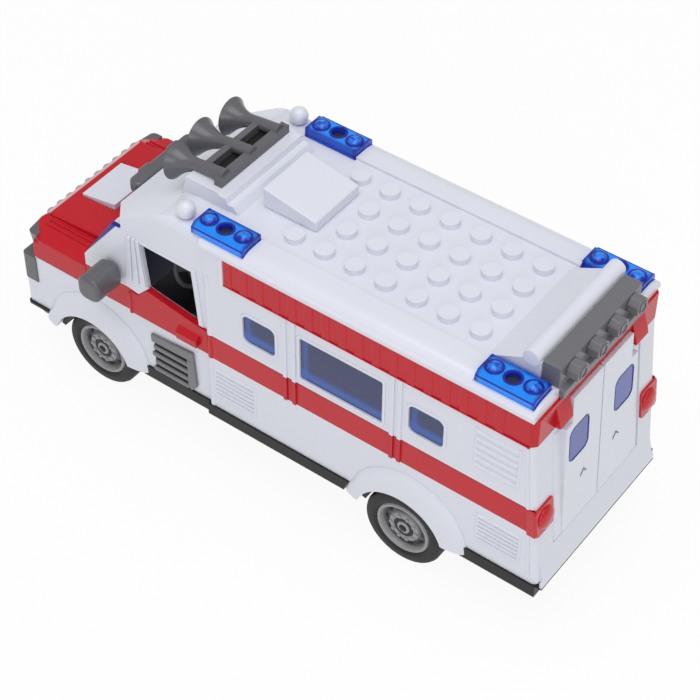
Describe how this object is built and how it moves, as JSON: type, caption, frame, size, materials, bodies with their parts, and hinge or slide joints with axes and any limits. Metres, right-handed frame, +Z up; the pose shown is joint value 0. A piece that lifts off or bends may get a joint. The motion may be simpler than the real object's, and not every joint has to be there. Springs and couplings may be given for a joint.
{
  "type": "toy ambulance",
  "caption": "Plastic toy ambulance with opening rear doors, rolling wheels on a friction drive, a press button on the hood, roof studs, blue beacons and horns.",
  "frame": {"origin": "on the ground, under the middle of the bounding box", "axes": "+X towards the front of the vehicle, +Y to its left, +Z up"},
  "size_m": [0.223, 0.0984, 0.1146],
  "materials": {
    "white_plastic": "glossy moulded plastic, slightly blue white",
    "red_plastic": "glossy moulded plastic, signal red",
    "grey_plastic": "satin moulded plastic, mid grey",
    "light_grey_plastic": "satin moulded plastic, light grey",
    "black_plastic": "satin moulded plastic, black",
    "blue_lens": "clear tinted plastic, saturated blue",
    "red_lens": "clear tinted plastic, red",
    "tinted_glazing": "clear tinted plastic, dark blue",
    "clear_led": "clear moulded lens",
    "steel": "plated steel",
    "natural_nylon": "natural nylon",
    "circuit_laminate": "green circuit laminate",
    "speaker_black": "pressed black cone and can",
    "tyre": "soft black plastic"
  },
  "bodies": {
    "vehicle": {"body_shell": "white_plastic", "roof_shell": "white_plastic", "roof_knobs": "white_plastic", "air_con_box": "white_plastic", "rear_fairing": "white_plastic", "eaves_band": "red_plastic", "hood": "red_plastic", "front_bumper": "grey_plastic", "headlamp_left": "grey_plastic", "headlamp_right": "grey_plastic", "visor_bar": "grey_plastic", "horn_set": "grey_plastic", "rear_bar": "grey_plastic", "rear_bar_lamps": "grey_plastic", "step_grille_left": "grey_plastic", "step_grille_right": "grey_plastic", "mirror_left": "grey_plastic", "mirror_right": "grey_plastic", "grille": "light_grey_plastic", "chassis": "black_plastic", "floor_plate": "black_plastic", "cab_interior": "black_plastic", "steering_wheel": "black_plastic", "battery_cover": "black_plastic", "beacon_front_left": "blue_lens", "beacon_front_right": "blue_lens", "beacon_rear_left": "blue_lens", "beacon_rear_right": "blue_lens", "tail_lamp_left": "red_lens", "tail_lamp_right": "red_lens", "windscreen": "tinted_glazing", "side_glazing_left": "tinted_glazing", "side_glazing_right": "tinted_glazing", "beacon_leds": "clear_led", "beacon_screws": "steel", "battery_screw": "steel", "body_screws": "steel", "button_spring": "steel", "battery_cells": "steel", "gearbox_left": "natural_nylon", "gearbox_right": "natural_nylon", "circuit_board": "circuit_laminate", "button_board": "circuit_laminate", "speaker": "speaker_black"},
    "front_wheels": {"front_axle": "steel", "front_rims": "light_grey_plastic", "front_tyres": "tyre"},
    "rear_wheels": {"rear_axle": "steel", "rear_rims": "light_grey_plastic", "rear_tyres": "tyre", "drive_gear": "natural_nylon"},
    "idler": {"idler_gear": "natural_nylon"},
    "flywheel_rotor": {"flywheel": "steel"},
    "door_left": {"rear_door_left": "white_plastic", "door_window_left": "tinted_glazing"},
    "door_right": {"rear_door_right": "white_plastic", "door_window_right": "tinted_glazing"},
    "button": {"sound_button": "white_plastic"}
  },
  "joints": [
    {"name": "front_roll", "type": "hinge", "parent": "vehicle", "child": "front_wheels", "pos_m": [0.0793, 0, 0.0154], "axis": [0, 1, 0], "continuous": true},
    {"name": "rear_roll", "type": "hinge", "parent": "vehicle", "child": "rear_wheels", "pos_m": [-0.0573, 0, 0.0154], "axis": [0, 1, 0], "continuous": true},
    {"name": "idler_spin", "type": "hinge", "parent": "vehicle", "child": "idler", "pos_m": [-0.04794, 0, 0.01705], "axis": [0, 1, 0], "continuous": true},
    {"name": "flywheel_spin", "type": "hinge", "parent": "vehicle", "child": "flywheel_rotor", "pos_m": [-0.03947, 0, 0.01646], "axis": [0, 1, 0], "continuous": true},
    {"name": "door_left_swing", "type": "hinge", "parent": "vehicle", "child": "door_left", "pos_m": [-0.10532, 0.0248, 0.05976], "axis": [-0.0993, 0, -0.9951], "range_deg": [0, 95]},
    {"name": "door_right_swing", "type": "hinge", "parent": "vehicle", "child": "door_right", "pos_m": [-0.10532, -0.0248, 0.05976], "axis": [0.0993, 0, 0.9951], "range_deg": [0, 95]},
    {"name": "button_press", "type": "slide", "parent": "vehicle", "child": "button", "axis": [0, 0, -1], "range_m": [0, 0.0015], "stiffness_N_per_m": 300, "springref_m": -0.001, "deforming": ["button_spring"]}
  ],
  "couplings": [
    {"joint": "idler_spin", "follows": "rear_roll", "ratio": -2.8},
    {"joint": "flywheel_spin", "follows": "rear_roll", "ratio": 6.72}
  ]
}
